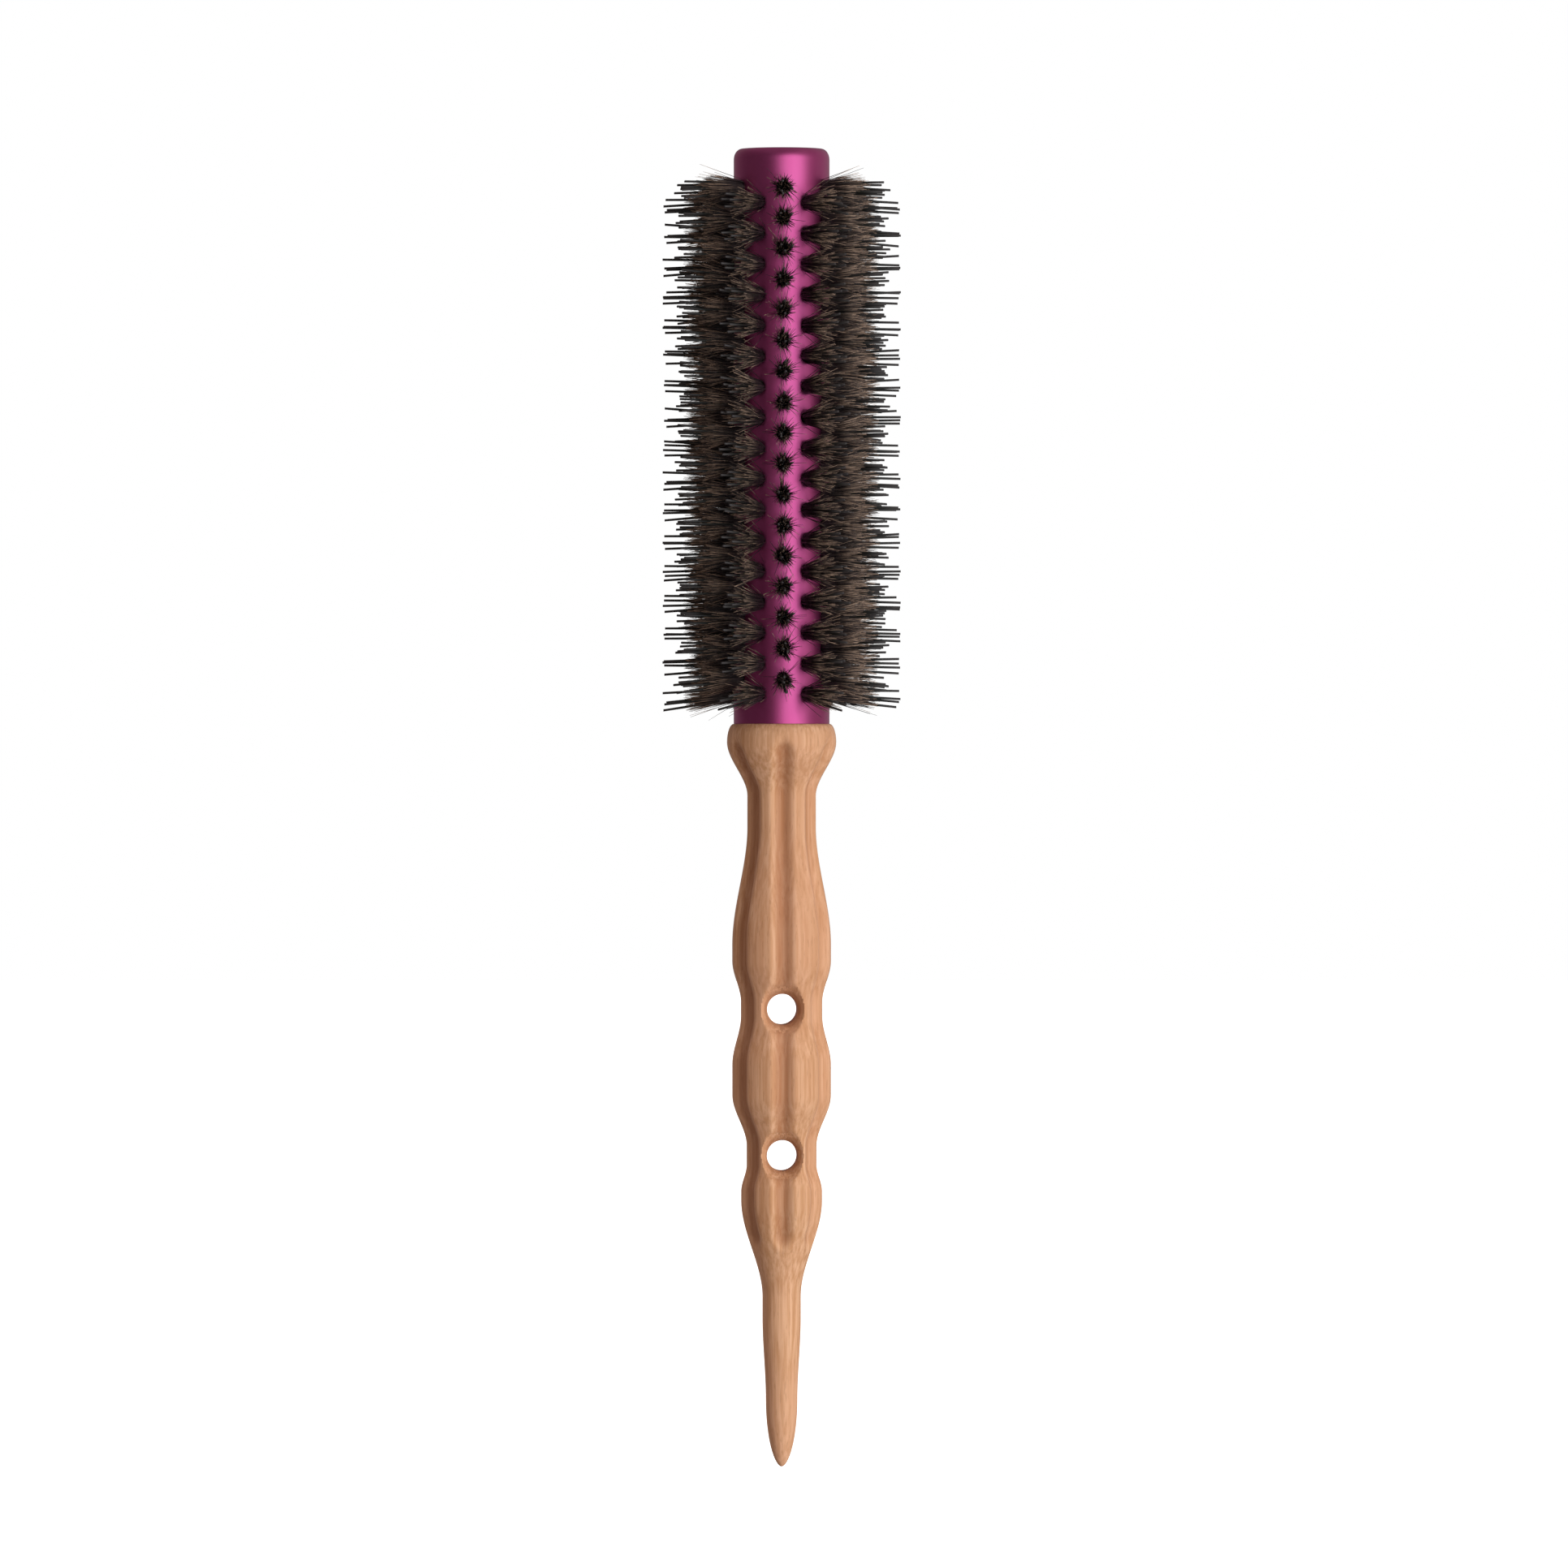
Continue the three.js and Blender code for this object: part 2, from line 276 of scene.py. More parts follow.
def bump(start, height, strength, distance):
    return start.node("Bump", {"Strength": strength, "Distance": distance, "Height": height})


# ---------------------------------------------------------------- materials
def floor_paint():
    """Pale paint that gives off its own light, so that the floor is as pale as the background."""
    material, start, feed = new_material("floor_paint", Roughness=0.9, Emission_Strength=1.0)
    tone = grain(start, (3, 3, 3)).over(0.3, 0.7).mix(srgb(250, 250, 250), srgb(253, 253, 252))
    feed("Base Color", tone)
    feed("Emission Color", tone)
    return material


def beech():
    """Fine sanded beech: fibre along the handle, short dark flecks, painted shade in the flutes (weaker
    towards the lit right side) and on the cross holes' inside walls.
    """
    material, start, feed = new_material("turned_beech", Specular_IOR_Level=0.35)
    fibre = grain(start, (1500, 1500, 45), detail=4.0)
    fleck = grain(start, (2600, 2600, 330), detail=1.0).over(0.6, 0.72)
    cloud = grain(start, (70, 70, 16), detail=2.0).over(0.3, 0.7)
    ring = grain(start, (330, 330, 7), detail=2.0)
    wood = fibre.over(0.3, 0.72).mix(srgb(208, 155, 112), srgb(240, 194, 156))
    wood = (cloud * 0.5).mix(wood, srgb(228, 174, 140))
    wood = (ring.over(0.45, 0.62) * 0.28).mix(wood, srgb(196, 142, 98))
    wood = (fleck * 0.2).mix(wood, srgb(150, 96, 60))
    # Painted shade: the flutes are darkened by their depth, less so towards +X where the key light falls.
    hollow_shade = start.node("Attribute", output="Fac", attribute_name="hollow_shade")
    lit_side = start.node("TexCoord", output="Object").split()[0].over(0.003, 0.007)
    wood = (hollow_shade.over(0.1, 0.9) * (0.45 - 0.4 * lit_side)).mix(wood, srgb(146, 80, 42))
    # Painted shade on the cross holes' inside walls.
    wood = (hollow_shade.over(-0.2, -0.9) * 0.35).mix(wood, srgb(134, 74, 40))
    feed("Base Color", wood)
    feed("Roughness", 0.44 + 0.2 * fibre)
    feed("Normal", bump(start, fibre + fleck * -0.4, 0.22, 0.0001))
    return material


def core_wood():
    """Cut wood with saw marks, a burnt-in ring of plain marks on its end, and painted shade at its outer
    edge and down its bore.
    """
    material, start, feed = new_material("core_wood", Specular_IOR_Level=0.3)
    place = start.node("TexCoord", output="Object")
    x, y, z = place.split()
    radius = (x * x + y * y) ** 0.5 * 1000
    pore = grain(start, (3400, 3400, 500), detail=3.0)
    cloud = grain(start, (420, 300, 60), detail=2.0)
    sawn = {"Vector": place, "Rotation": (0, 0, math.radians(-38)), "Scale": (2600, 90, 200)}
    saw = start.node("TexNoise", {"Vector": start.node("Mapping", sawn), "Scale": 1.0, "Detail": 2.0})
    wood = pore.over(0.3, 0.7).mix(srgb(190, 140, 82), srgb(226, 182, 122))
    wood = (cloud.over(0.4, 0.65) * 0.5).mix(wood, srgb(178, 124, 66))
    wood = (saw.over(0.6, 0.72) * 0.5).mix(wood, srgb(240, 208, 156))
    # Painted shade at the outer edge, next to the sleeve's lip.
    edge = radius.over(CORE_RADIUS - 0.9, CORE_RADIUS) * 0.6
    wood = edge.mix(wood, srgb(140, 88, 44))
    # Painted shade down the bore, darker the deeper it goes.
    end = SHOULDER + CORE_TOP * MM
    depth = z.over(end - 0.3 * MM, end - 4.0 * MM)
    inside = radius.over(CORE_BORE + 0.25, CORE_BORE + 0.05)
    wood = (inside * (0.25 + 0.75 * depth)).mix(wood, srgb(120, 66, 30))
    marks = burnt_marks(start, x, y, radius) * z.over(end - 0.1 * MM, end - 0.02 * MM)
    feed("Base Color", (marks * 0.9).mix(wood, srgb(38, 26, 20)))
    feed("Roughness", 0.62 + 0.18 * pore)
    feed("Normal", bump(start, pore + saw * 0.8 + marks * -1.5, 0.4, 0.0001))
    return material


def burnt_marks(start, x, y, radius):
    """A dashed arc at the top and the bottom of the end face, and two dots at each side."""
    ring = (radius - MARK_RADIUS).absolute().over(MARK_HALF_WIDTH + 0.05, MARK_HALF_WIDTH - 0.05)
    angle = start.math("ARCTAN2", x, y)
    from_top = start.math("ARCTAN2", x, y.absolute()).absolute()
    arcs = from_top.over(0.52, 0.48) * (angle * MARK_DASHES).cosine().over(0.0, 0.25)
    dots = from_top.over(1.38, 1.42) * (angle * MARK_DOTS).cosine().over(0.1, -0.15)
    return ring * (arcs + dots)


def anodised():
    """Satin pink anodising: tinted metal with a fine blasted surface, paler on the holes' worn rims."""
    coat = {"Coat_Weight": 0.5, "Coat_Roughness": 0.35}
    material, start, feed = new_material("pink_anodising", Metallic=1.0, **coat)
    blast = grain(start, (9000, 9000, 9000), detail=1.0)
    drawn = grain(start, (1600, 1600, 120), detail=2.0)
    cloud = grain(start, (160, 160, 60), detail=2.0)
    rim = start.node("Attribute", output="Fac", attribute_name="rim")
    pink = cloud.over(0.3, 0.7).mix(srgb(214, 82, 146), srgb(222, 92, 156))
    pink = (rim * 0.35).mix(pink, srgb(236, 150, 190))
    feed("Base Color", pink)
    feed("Roughness", 0.33 + 0.08 * blast + 0.06 * drawn)
    feed("Normal", bump(start, blast + drawn * 0.5, 0.12, 0.00003))
    return material


def steel():
    """Plain sheet steel, rolled along the barrel."""
    material, start, feed = new_material("channel_steel", Metallic=1.0)
    drawn = grain(start, (3000, 3000, 60), detail=3.0)
    feed("Base Color", drawn.over(0.3, 0.7).mix(srgb(150, 150, 148), srgb(190, 190, 187)))
    feed("Roughness", 0.28 + 0.25 * drawn)
    feed("Normal", bump(start, drawn, 0.15, 0.00005))
    return material


def bristle_uv(start):
    """The two numbers on a bristle: one picked for it, and how far along it a place is."""
    return start.node("UVMap", uv_map="strand").split()[:2]


def boar():
    """Boar bristle: near black at the root and browner and lighter to the tip, each a little its own."""
    material, start, feed = new_material("boar_bristle", Specular_IOR_Level=0.45)
    pick, along = bristle_uv(start)
    dark = pick.mix(srgb(36, 34, 35), srgb(90, 82, 82))
    tip = pick.over(0.1, 0.9).mix(srgb(56, 48, 46), srgb(208, 180, 158))
    mottle = grain(start, (900, 900, 900), detail=1.0).over(0.35, 0.65)
    color = (along.over(0.45, 1.0) * pick.over(0.15, 0.85)).mix(dark, tip)
    feed("Base Color", (mottle * 0.35).mix(color, srgb(36, 29, 28)))
    feed("Roughness", 0.36 + 0.2 * mottle)
    return material


def nylon():
    """Nylon pins: smoky black, a little paler at the cut end."""
    material, start, feed = new_material("nylon_pin", Specular_IOR_Level=0.35)
    pick, along = bristle_uv(start)
    color = pick.mix(srgb(18, 19, 18), srgb(42, 43, 41))
    feed("Base Color", (along.over(0.7, 1.0) * 0.35).mix(color, srgb(98, 94, 96)))
    feed("Roughness", 0.36 + 0.15 * pick)
    return material


# ---------------------------------------------------------------- piece helpers
def placed(name, bm, material, nodes, sharp=40):
    """Makes a piece of a shape drawn in millimetres. It rides on the body and stands for nodes."""
    bmesh.ops.scale(bm, vec=(MM, MM, MM), verts=bm.verts)
    bmesh.ops.translate(bm, vec=(0, 0, SHOULDER), verts=bm.verts)
    mesh = bpy.data.meshes.new(name)
    bm.to_mesh(mesh)
    bm.free()
    mesh.shade_smooth()
    if sharp:
        mesh.set_sharp_from_angle(angle=math.radians(sharp))
    mesh.materials.append(material)
    piece = bpy.data.objects.new(name, mesh)
    bpy.context.scene.collection.objects.link(piece)
    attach(piece, "root")
    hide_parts(*nodes)
    return piece


def spun(bm, profile, steps, closed=True):
    """Turns a profile of radius and height pairs about the axis, from the side that faces -Y."""
    verts = [bm.verts.new((0, -radius, height)) for radius, height in profile]
    pairs = zip(verts, verts[1:] + verts[:1] if closed else verts[1:])
    edges = [bm.edges.new(pair) for pair in pairs]
    bmesh.ops.spin(
        bm,
        geom=verts + edges,
        cent=(0, 0, 0),
        axis=(0, 0, 1),
        angle=2 * math.pi,
        steps=steps,
        use_merge=True,
    )


def tidied(bm, distance=0.002):
    bmesh.ops.remove_doubles(bm, verts=bm.verts, dist=distance)
    bmesh.ops.recalc_face_normals(bm, faces=bm.faces)


def arc(centre, half_axes, start, end, steps):
    """Points of part of an ellipse, from one angle in degrees to another."""
    (x, y), (wide, high) = centre, half_axes
    angles = [math.radians(start + (end - start) * i / steps) for i in range(steps + 1)]
    return [(x + wide * math.cos(angle), y + high * math.sin(angle)) for angle in angles]


def smooth(t):
    """0 up to 0, 1 from 1, and an even curve between."""
    t = min(max(t, 0), 1)
    return t * t * (3 - 2 * t)


# ---------------------------------------------------------------- handle
def land_end(wanted):
    """How far below the shoulder a land ends."""
    below = COLLAR_SLOPE
    for name, (slope, length, _) in LANDS.items():
        below += slope + length
        if name == wanted:
            return below


def land_middle(name):
    _, length, _ = LANDS[name]
    return land_end(name) - length / 2


def handle_radius(below):
    """Radius of the turned outline at a distance below the shoulder."""
    if below < COLLAR_SLOPE:
        rise = math.sqrt(1 - (1 - below / COLLAR_SLOPE) ** 2)
        return BARREL_RADIUS + (COLLAR_RADIUS - BARREL_RADIUS) * rise
    start, radius = COLLAR_SLOPE, COLLAR_RADIUS
    for slope, length, next_radius in LANDS.values():
        if below < start + slope + length:
            return radius + (next_radius - radius) * smooth((below - start) / slope)
        start, radius = start + slope + length, next_radius
    share = min((below - start) / TIP_LENGTH, 1)
    return radius * (1 - share * share) ** TIP_FULLNESS


def flute_share(below, radius, angle):
    """How deep the flutes are at a place, as a share of their full depth."""
    spacing = 2 * math.pi / FLUTES
    off = abs(angle - spacing * round(angle / spacing)) * radius / FLUTE_HALF_WIDTH
    fade = smooth((below - FLUTE_START) / FLUTE_RUNOUT) * smooth((FLUTE_END - below) / FLUTE_RUNOUT)
    narrow = max(fade, 0.05) ** 0.5
    return fade * (1 - (off / narrow) ** 2) ** 1.8 if off < narrow else 0.0


def cross_hole_cutter(notch):
    """A plug along Y that widens to a cone at each mouth, with the bend between them rounded."""
    start = LANDS[notch][2] - CROSS_HOLE_SINK
    side = [
        (CROSS_HOLE_RADIUS, start - 0.5),
        (CROSS_HOLE_RADIUS + 0.04, start - 0.15),
        (CROSS_HOLE_RADIUS + 0.13, start + 0.1),
        (CROSS_HOLE_RADIUS + 0.4 * CROSS_HOLE_SPREAD, start + 0.4),
        (CROSS_HOLE_RADIUS + 8 * CROSS_HOLE_SPREAD, start + 8),
    ]
    bm = bmesh.new()
    spun(bm, [(0, -start - 8)] + [(r, -h) for r, h in reversed(side)] + side + [(0, start + 8)], 72)
    tidied(bm)
    bmesh.ops.rotate(bm, cent=(0, 0, 0), matrix=Matrix.Rotation(math.pi / 2, 3, "X"), verts=bm.verts)
    bmesh.ops.translate(bm, vec=(0, 0, -land_middle(notch)), verts=bm.verts)
    mesh = bpy.data.meshes.new("cutter")
    bm.to_mesh(mesh)
    bm.free()
    return bpy.data.objects.new("cutter", mesh)


def cut_away(bm, cutters):
    """The shape without its cutters, as a new bmesh."""
    mesh = bpy.data.meshes.new("whole")
    bm.to_mesh(mesh)
    bm.free()
    whole = bpy.data.objects.new("whole", mesh)
    for thing in (whole, *cutters):
        bpy.context.scene.collection.objects.link(thing)
    for cutter in cutters:
        modifier = whole.modifiers.new("cut", "BOOLEAN")
        modifier.operation, modifier.solver, modifier.object = "DIFFERENCE", "EXACT", cutter
    result = bmesh.new()
    result.from_object(whole, bpy.context.evaluated_depsgraph_get())
    for thing in (whole, *cutters):
        bpy.data.objects.remove(thing)
    return result


def soften_mouths(bm):
    """Rounds the edge where a cross hole's cone meets the outside."""
    axes = {"use_axis_x": True, "use_axis_y": True, "use_axis_z": True}
    reach, depth, bend = 8, 6, 0.2
    for notch in CROSS_HOLES:
        height = -land_middle(notch)
        rim = [
            vert
            for vert in bm.verts
            if math.hypot(vert.co.x, vert.co.z - height) < reach
            and max((face.normal.angle(vert.normal, 0) for face in vert.link_faces), default=0) > bend
            and vert.co.xy.length > depth
        ]
        for _ in range(3):
            bmesh.ops.smooth_vert(bm, verts=rim, factor=0.5, **axes)


def make_handle():
    """Spigot, collar, lands and tail turned in one, then the flutes pressed in and the holes cut."""
    steps = 180
    tail_end = land_end("tail end")
    levels = [COLLAR_SLOPE * (1 - math.cos(math.pi / 2 * i / 8)) for i in range(8)]
    levels += [COLLAR_SLOPE + (tail_end - COLLAR_SLOPE) * i / 280 for i in range(280)]
    levels += [tail_end + TIP_LENGTH * math.sin(math.pi / 2 * i / 16) for i in range(17)]
    spigot = [
        (0, SPIGOT_TOP),
        (SPIGOT_RADIUS - SPIGOT_CHAMFER, SPIGOT_TOP),
        (SPIGOT_RADIUS, SPIGOT_TOP - SPIGOT_CHAMFER),
        (SPIGOT_RADIUS, 0),
    ]
    bm = bmesh.new()
    spun(bm, spigot + [(handle_radius(level), -level) for level in levels], steps, closed=False)
    tidied(bm)
    for vert in bm.verts:
        radius, below = vert.co.xy.length, -vert.co.z
        if below > 0 and radius > 0:
            depth = FLUTE_DEPTH * flute_share(below, radius, math.atan2(vert.co.x, -vert.co.y))
            vert.co.xy *= 1 - depth / radius
    bm = cut_away(bm, [cross_hole_cutter(notch) for notch in CROSS_HOLES])
    soften_mouths(bm)
    # Painted shade for the beech: each flute's share of its depth, and -1 on the cross holes' inside
    # walls.
    hollow_shade = bm.verts.layers.float.new("hollow_shade")
    for vert in bm.verts:
        below, angle = -vert.co.z, math.atan2(vert.co.x, -vert.co.y)
        if below <= 0:
            continue
        radius = handle_radius(below)
        inside = vert.co.xy.length < radius - 1.2 * FLUTE_DEPTH
        vert[hollow_shade] = -1 if inside else flute_share(below, radius, angle)
    return placed("turned_handle", bm, beech(), ["handle"])


# ---------------------------------------------------------------- sleeve
def tuft_height(row, number):
    """Height of a tuft's middle. Neighbouring rows are half a pitch apart."""
    stagger = TUFT_PITCH / 2 if row % 2 == 0 else 0
    return FIRST_TUFT + stagger + number * TUFT_PITCH


def wrap(verts, row, height):
    """Wraps a flat patch round the barrel: x from -1 to 1 over a row, y along the barrel, z outwards."""
    for vert in verts:
        angle = (row + vert.co.x / 2) * ROW_ANGLE
        radius = vert.co.z
        vert.co = (radius * math.sin(angle), -radius * math.cos(angle), vert.co.y + height)


def hole_patch():
    """One hole of the sleeve with the wall round it, inside and out, as a flat patch."""
    bm = bmesh.new()
    spoke = bm.verts.layers.int.new("spoke")
    rim = bm.verts.layers.float.new("rim")
    half = Vector((BARREL_RADIUS * ROW_ANGLE / 2, TUFT_PITCH / 2))
    ring = bmesh.ops.create_circle(bm, segments=HOLE_SIDES, radius=1)["verts"]
    for number, vert in enumerate(ring):
        vert[spoke] = number

    def place(verts, spread, hole, radius, worn):
        """Puts a loop part of the way from the hole to the patch's border, at a radius of the barrel."""
        for vert in verts:
            side, step = divmod(vert[spoke], SIDES_PER_ROW)
            border = Matrix.Rotation(side * math.pi / 2, 2) @ Vector((2 * step / SIDES_PER_ROW - 1, -1))
            border = Vector((border.x * half.x, border.y * half.y))
            angle = math.radians(-135) + 2 * math.pi * vert[spoke] / HOLE_SIDES
            spot = (Vector((math.cos(angle), math.sin(angle))) * hole).lerp(border, spread)
            vert.co = (spot.x / half.x, spot.y, radius)
            vert[rim] = worn

    loops = [
        (1, HOLE_RADIUS, BARREL_RADIUS, 0),
        (0.3, HOLE_RADIUS, BARREL_RADIUS, 0),
        (0, HOLE_RADIUS + RIM_ROUND, BARREL_RADIUS, 0.5),
        (0, HOLE_RADIUS + 0.3 * RIM_ROUND, BARREL_RADIUS - 0.3 * RIM_ROUND, 1),
        (0, HOLE_RADIUS, BARREL_RADIUS - RIM_ROUND, 0.5),
        (0, HOLE_RADIUS, SLEEVE_INSIDE, 0),
        (1, HOLE_RADIUS, SLEEVE_INSIDE, 0),
    ]
    place(ring, *loops[0])
    edges = bm.edges[:]
    for loop in loops[1:]:
        made = bmesh.ops.extrude_edge_only(bm, edges=edges)["geom"]
        ring = {item for item in made if isinstance(item, bmesh.types.BMVert)}
        edges = [item for item in made if isinstance(item, bmesh.types.BMEdge)]
        edges = [edge for edge in edges if ring.issuperset(edge.verts)]
        place(ring, *loop)
    return bm


def plain_patch(low):
    """Half a pitch of the sleeve with no hole in it, inside and out, as a flat patch."""
    bm = bmesh.new()
    for radius in (BARREL_RADIUS, SLEEVE_INSIDE):
        segments = {"x_segments": SIDES_PER_ROW, "y_segments": SIDES_PER_ROW // 2}
        for vert in bmesh.ops.create_grid(bm, size=1, **segments)["verts"]:
            vert.co = (vert.co.x, low + (vert.co.y + 1) * TUFT_PITCH / 4, radius)
    return bm


def add_wrapped(bm, patch, row, height):
    """Adds a copy of a flat patch, wrapped round the barrel."""
    copy = patch.copy()
    wrap(copy.verts, row, height)
    mesh = bpy.data.meshes.new("patch")
    copy.to_mesh(mesh)
    copy.free()
    bm.from_mesh(mesh)
    bpy.data.meshes.remove(mesh)


def make_sleeve():
    """A patch for each hole, plain patches where a staggered row ends, then the foot and the lip."""
    low = FIRST_TUFT - TUFT_PITCH / 2
    high = low + TUFTS_PER_ROW * TUFT_PITCH
    bm = bmesh.new()
    bm.verts.layers.float.new("rim")
    hole, below, above = hole_patch(), plain_patch(low), plain_patch(high)
    for row in range(ROWS):
        for number in range(TUFTS_PER_ROW):
            add_wrapped(bm, hole, row, tuft_height(row, number))
        add_wrapped(bm, below if row % 2 == 0 else above, row, 0)
    foot = [(BARREL_RADIUS, low), (BARREL_RADIUS, SEAT), (SLEEVE_INSIDE, SEAT), (SLEEVE_INSIDE, low)]
    spun(bm, foot, SLEEVE_STEPS, closed=False)
    spun(bm, lip_profile(high + TUFT_PITCH / 2), SLEEVE_STEPS, closed=False)
    tidied(bm)
    return placed("perforated_sleeve", bm, anodised(), ["barrel_sleeve"], sharp=50)


def lip_profile(low):
    """The sleeve's front: up the outside, over the rolled lip, down inside it, and back up behind it."""
    top = BARREL_TOP
    outer, inner = top - LIP_OUTER_DROP, top - LIP_INNER_DROP
    outside = arc((LIP_CREST, outer), (BARREL_RADIUS - LIP_CREST, LIP_OUTER_DROP), 0, 90, 10)
    inside = arc((LIP_CREST, inner), (LIP_CREST - LIP_OPENING, LIP_INNER_DROP), 90, 180, 8)[1:]
    edge = [(LIP_OPENING, top - LIP_DEPTH), (LIP_OPENING + LIP_SHEET, top - LIP_DEPTH)]
    back = [(LIP_OPENING + LIP_SHEET, inner), (SLEEVE_INSIDE - 0.3, top - LIP_SHEET - 0.4)]
    return [
        (BARREL_RADIUS, low),
        *outside,
        *inside,
        *edge,
        *back,
        (SLEEVE_INSIDE, outer),
        (SLEEVE_INSIDE, low),
    ]


# ---------------------------------------------------------------- core
def make_core():
    """A turned head, and a shaft with a flat for each channel, round one bore."""
    head_low = CORE_TOP - CORE_HEAD
    steps = ROWS * 10
    shaft = [(CORE_BORE, GAP), (CORE_FLAT, GAP), (CORE_FLAT, head_low)]
    face = arc((CORE_RADIUS - CORE_CHAMFER, CORE_TOP - CORE_CHAMFER), [CORE_CHAMFER] * 2, 0, 90, 4)
    mouth = [(CORE_BORE + 0.12, CORE_TOP), (CORE_BORE, CORE_TOP - 0.15)]
    land = CORE_RADIUS - CORE_BORE - 0.6
    rings = [(CORE_BORE + 0.12 + land * i / 5, CORE_TOP) for i in (4, 3, 2, 1)]
    bore = [(CORE_BORE, CORE_TOP - depth) for depth in (0.6, 1.5, 4.0)]
    bm = bmesh.new()
    spun(bm, shaft + [(CORE_RADIUS, head_low)] + face + rings + mouth + bore, steps)
    tidied(bm)
    for vert in bm.verts:
        radius, height = vert.co.xy.length, vert.co.z
        if abs(radius - CORE_FLAT) < 0.01 and height < head_low + 0.01:
            angle = math.atan2(vert.co.x, -vert.co.y)
            vert.co.xy /= math.cos(angle - ROW_ANGLE * round(angle / ROW_ANGLE))
        if radius < CORE_BORE + 0.2 and height > CORE_TOP - 0.3:
            vert.co.xy *= 1 + 0.02 * noise.noise(vert.co * 2.3) + 0.008 * noise.noise(vert.co * 9)
    return placed("core_tube", bm, core_wood(), ["barrel_core"])


# ---------------------------------------------------------------- bristle
BOAR_PER_TUFT = 230
NYLON_PER_TUFT = 4
TUFT_KINDS = 14  # that are drawn; each hole gets one of them
BOAR_RADIUS = 0.078
NYLON_RADIUS = 0.3
BOAR_REACH = 9.1  # above the barrel
BOAR_RAGGED = 1.1
BOAR_LONGEST = 1.5  # above their reach
BOAR_SPREAD = (0.8, 1.1)
BOAR_TAPER = 0.55
STRAYS = 0.13  # of the boar bristles
STRAY_SPREAD = (1.2, 2.0)
NYLON_REACH = 14.85
NYLON_SHORTEST = 1.1  # below their reach
NYLON_TAPER = 0.15
ROOT_LEVEL = 7.3
ROOT_SPREAD = 1.0
TIP_ACROSS = 2.6
TIP_ALONG = 2.75
FLATTEN = 0.9  # by which a tuft's outer bristle ends below its middle ones
UPRIGHT_TUFTS = 6.5  # on either side of a row's middle
FRONT_LEAN = -0.03  # towards the handle, more with each tuft past the upright ones
REAR_LEAN = -0.05


def unit_bristle(sides, cuts):
    """A straight bristle of radius 1 from height 0 to 1, with the height also in its strand map."""
    bm = bmesh.new()
    bmesh.ops.create_cone(bm, cap_ends=True, segments=sides, radius1=1, radius2=1, depth=1)
    bmesh.ops.translate(bm, vec=(0, 0, 0.5), verts=bm.verts)
    upright = [edge for edge in bm.edges if abs(edge.verts[0].co.z - edge.verts[1].co.z) > 0.5]
    bmesh.ops.subdivide_edges(bm, edges=upright, cuts=cuts)
    strand = bm.loops.layers.uv.new("strand")
    for face in bm.faces:
        for loop in face.loops:
            loop[strand].uv = (0, loop.vert.co.z)
    mesh = bpy.data.meshes.new("bristle")
    bm.to_mesh(mesh)
    bm.free()
    return mesh


def drawn_tuft(bristle, strands):
    """A mesh of strands, each given by its root, tip, bend, radius, taper and pick."""
    bm = bmesh.new()
    for _ in strands:
        bm.from_mesh(bristle)
    bm.verts.ensure_lookup_table()
    per_strand = len(bristle.vertices)
    for number, vert in enumerate(bm.verts):
        root, tip, bend, radius, taper, _ = strands[number // per_strand]
        along = vert.co.z
        width = radius * (1 - taper * along * along)
        vert.co = root.lerp(tip, along) + bend * along * along + Vector((vert.co.x, vert.co.y, 0)) * width
    strand = bm.loops.layers.uv["strand"]
    for number, face in enumerate(bm.faces):
        pick = strands[number // len(bristle.polygons)][-1]
        for loop in face.loops:
            loop[strand].uv.x = pick
    mesh = bpy.data.meshes.new("tuft")
    bm.to_mesh(mesh)
    bm.free()
    return mesh


def boar_strands(chance):
    """Roots, tips and the rest of a tuft's bristles. X runs across the row, Y along it and Z outwards."""
    strands = []
    for _ in range(BOAR_PER_TUFT):
        share, angle = math.sqrt(chance.random()), chance.uniform(0, 2 * math.pi)
        way = Vector((math.cos(angle), math.sin(angle), 0)) * share
        stray = chance.random() < STRAYS
        spread = chance.uniform(*(STRAY_SPREAD if stray else BOAR_SPREAD))
        ragged = min(chance.gauss(0, BOAR_RAGGED), BOAR_LONGEST)
        level = BARREL_RADIUS + BOAR_REACH - FLATTEN * share**2 + ragged
        root = way * ROOT_SPREAD + Vector((0, 0, ROOT_LEVEL))
        tip = Vector((way.x * TIP_ACROSS * spread, way.y * TIP_ALONG * spread, level))
        tip += Vector((chance.gauss(0, 0.3), chance.gauss(0, 0.35), 0))
        bend = Vector((chance.gauss(0, 0.2), chance.gauss(0, 0.3), 0))
        radius = BOAR_RADIUS * chance.uniform(0.8, 1.15)
        strands.append((root, tip, bend, radius, BOAR_TAPER, chance.random()))
    return strands


def nylon_strands(chance):
    """The same for a tuft's pins, spread evenly round it."""
    strands = []
    for number in range(NYLON_PER_TUFT):
        angle = 2 * math.pi * (number + chance.uniform(-0.3, 0.3)) / NYLON_PER_TUFT
        way = Vector((math.cos(angle), math.sin(angle), 0))
        level = BARREL_RADIUS + NYLON_REACH - chance.random() ** 2 * NYLON_SHORTEST
        root = way * ROOT_SPREAD + Vector((0, 0, ROOT_LEVEL))
        tip = Vector((way.x * chance.uniform(0.6, 1.6), way.y * chance.uniform(0.8, 1.9), level))
        bend = Vector((chance.gauss(0, 0.2), chance.gauss(0, 0.2), 0))
        strands.append((root, tip, bend, NYLON_RADIUS, NYLON_TAPER, chance.random()))
    return strands


def row_matrix(row):
    """From a row's own frame, x across it, y along it and z outwards, to the brush's."""
    upright = Matrix(((1, 0, 0, 0), (0, 0, -1, 0), (0, 1, 0, 0), (0, 0, 0, 1)))
    return Matrix.Rotation(row * ROW_ANGLE, 4, "Z") @ upright


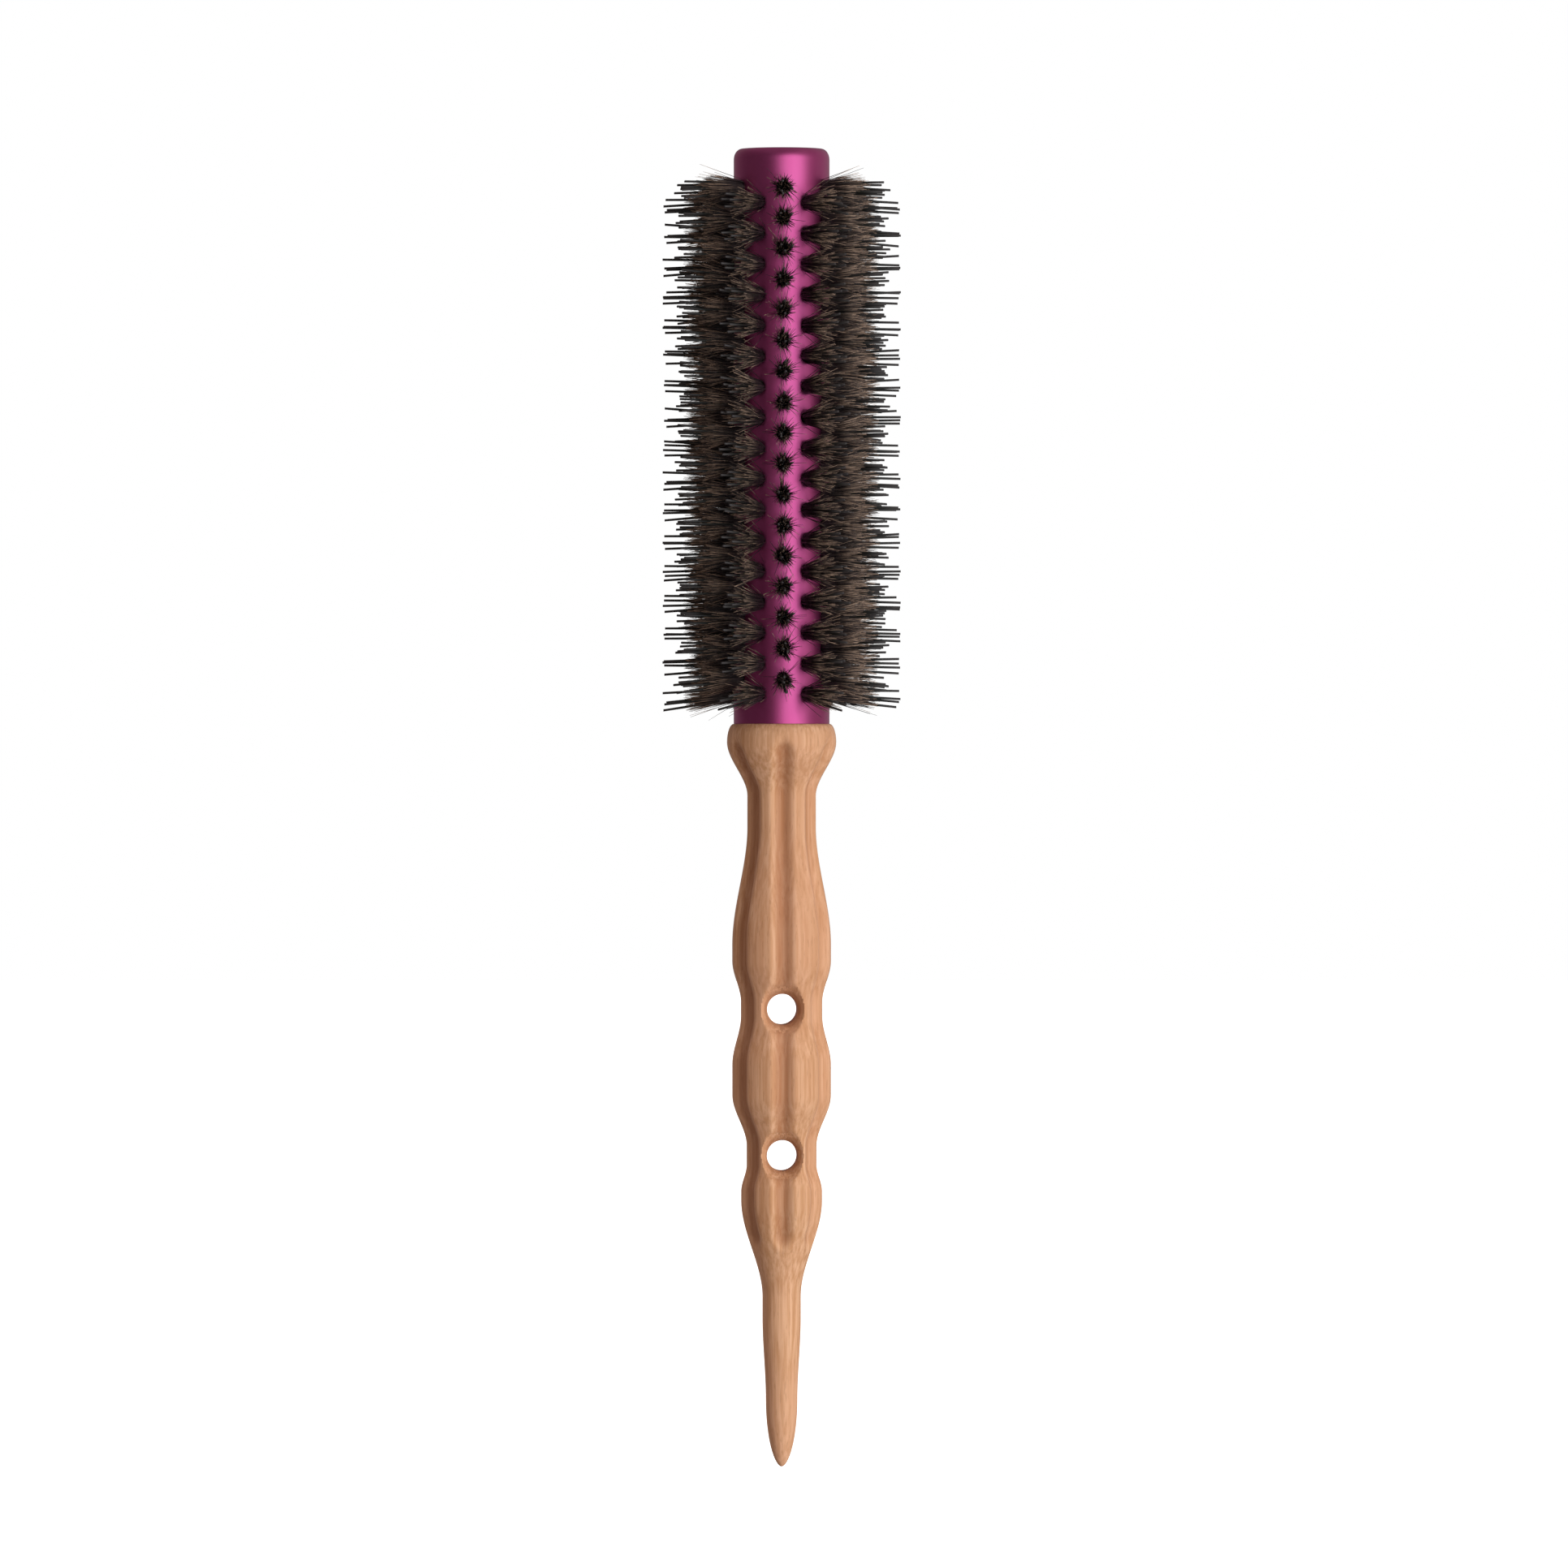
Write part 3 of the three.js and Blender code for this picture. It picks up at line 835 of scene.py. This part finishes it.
def make_tufts(name, row, kinds, chance, material):
    """A row of tufts: one of the kinds at each hole, turned at random, and leaning at the row's ends."""
    bm = bmesh.new()
    for number in range(TUFTS_PER_ROW):
        tuft = chance.choice(kinds).copy()
        tuft.transform(Matrix.Rotation(chance.choice((0, math.pi)) + chance.gauss(0, 0.15), 4, "Z"))
        past = number - (TUFTS_PER_ROW - 1) / 2
        each = FRONT_LEAN if past > 0 else REAR_LEAN
        lean = Matrix.Identity(4)
        lean[1][2] = max(abs(past) - UPRIGHT_TUFTS, 0) * each + chance.gauss(0, 0.014)
        lean[0][2] = chance.gauss(0, 0.012)
        base = Vector((0, 0, BARREL_RADIUS))
        tuft.transform(Matrix.Translation(base) @ lean @ Matrix.Translation(-base))
        tuft.transform(row_matrix(row) @ Matrix.Translation((0, tuft_height(row, number), 0)))
        bm.from_mesh(tuft)
        bpy.data.meshes.remove(tuft)
    return placed(name, bm, material, [f"tuft_row_{row + 1:02d}"], sharp=0)


def make_band(name, row, material):
    """The flat strip that a row of tufts is anchored on."""
    last = tuft_height(0, TUFTS_PER_ROW - 1) + 2.0 - GAP
    bm = bmesh.new()
    bmesh.ops.create_cube(bm, size=1)
    bmesh.ops.scale(bm, vec=(BAND_WIDTH, last - 2 * GAP, BAND_THICKNESS), verts=bm.verts)
    bmesh.ops.bevel(
        bm,
        geom=bm.edges[:],
        offset=0.1,
        offset_type="OFFSET",
        segments=2,
        profile=0.5,
        affect="EDGES",
        material=-1,
    )
    middle = Vector((0, last / 2 + GAP, BAND_BASE + BAND_THICKNESS / 2))
    bmesh.ops.transform(bm, matrix=row_matrix(row) @ Matrix.Translation(middle), verts=bm.verts)
    return placed(name, bm, material, [f"tuft_row_{row + 1:02d}"])


# ---------------------------------------------------------------- assembly
def make_stage():
    """A plain pale floor below the brush, which neither lights it nor shows in it."""
    bm = bmesh.new()
    bmesh.ops.create_circle(bm, cap_ends=True, segments=96, radius=9.0)
    bmesh.ops.translate(bm, vec=(0, 0, cad_box[0][2] - FLOOR_DROP), verts=bm.verts)
    mesh = bpy.data.meshes.new("floor")
    bm.to_mesh(mesh)
    bm.free()
    mesh.materials.append(floor_paint())
    floor = bpy.data.objects.new("floor", mesh)
    bpy.context.scene.collection.objects.link(floor)
    floor.visible_diffuse = False
    floor.visible_glossy = False
    floor.visible_shadow = False


def make_light():
    """A level, soft key light from the right, and a surround that shows as white and lights less."""
    world = bpy.data.worlds.new("studio")
    world.use_nodes = True
    bpy.context.scene.world = world
    tree = world.node_tree
    tree.nodes.clear()
    start = Shade(tree)
    way = start.node("TexCoord", output="Generated")
    glow_way = (math.sin(GLOW_AZIMUTH), -math.cos(GLOW_AZIMUTH), 0)
    glow = way.vector("DOT_PRODUCT", way, glow_way, output="Value").over(*GLOW_SPREAD)
    right, behind, above = way.split()
    fill = (behind.over(0.2, 1.0) + above.over(0.5, 1.0)) * FILL
    mirrored = MIRRORED + (MIRRORED_RIGHT - MIRRORED) * right.over(0.0, 0.9)
    mirrored = mirrored + glow * GLOW + fill * MIRRORED_FILL
    camera = start.node("LightPath", output="Is Camera Ray")
    glossy = start.node("LightPath", output="Is Glossy Ray")
    around = AMBIENT + fill
    strength = camera + (1 - camera) * (around + glossy * (mirrored - around))
    tint = (camera + glossy).over(0.0, 1.0).mix(WARM, glow.mix(WHITE, COOL))
    background = start.node("Background", {"Color": tint, "Strength": strength})
    output = tree.nodes.new("ShaderNodeOutputWorld")
    tree.links.new(background.socket, output.inputs["Surface"])
    sun = bpy.data.lights.new("key", "SUN")
    sun.energy = KEY_LIGHT
    sun.angle = KEY_WIDTH
    key = bpy.data.objects.new("key", sun)
    key.location = (1.0, -1.2, 0.1)
    key.rotation_euler = (math.pi / 2, 0, KEY_AZIMUTH)
    key.visible_glossy = False
    bpy.context.scene.collection.objects.link(key)


make_camera()
make_stage()
make_light()
make_handle()
make_sleeve()
make_core()

steel_sheet = steel()
boar_hair, nylon_hair = unit_bristle(3, 2), unit_bristle(5, 2)
picks = random.Random(7)
boar_kinds = [drawn_tuft(boar_hair, boar_strands(picks)) for _ in range(TUFT_KINDS)]
nylon_kinds = [drawn_tuft(nylon_hair, nylon_strands(picks)) for _ in range(TUFT_KINDS)]
boar_finish, nylon_finish = boar(), nylon()
for row in range(ROWS):
    number = f"{row + 1:02d}"
    make_tufts(f"boar_row_{number}", row, boar_kinds, picks, boar_finish)
    make_tufts(f"nylon_row_{number}", row, nylon_kinds, picks, nylon_finish)
    make_band(f"anchor_band_{number}", row, steel_sheet)
    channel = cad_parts[f"tuft_channel_{number}"]
    channel.data.materials.clear()
    channel.data.materials.append(steel_sheet)

bpy.context.scene.view_settings.view_transform = "Standard"
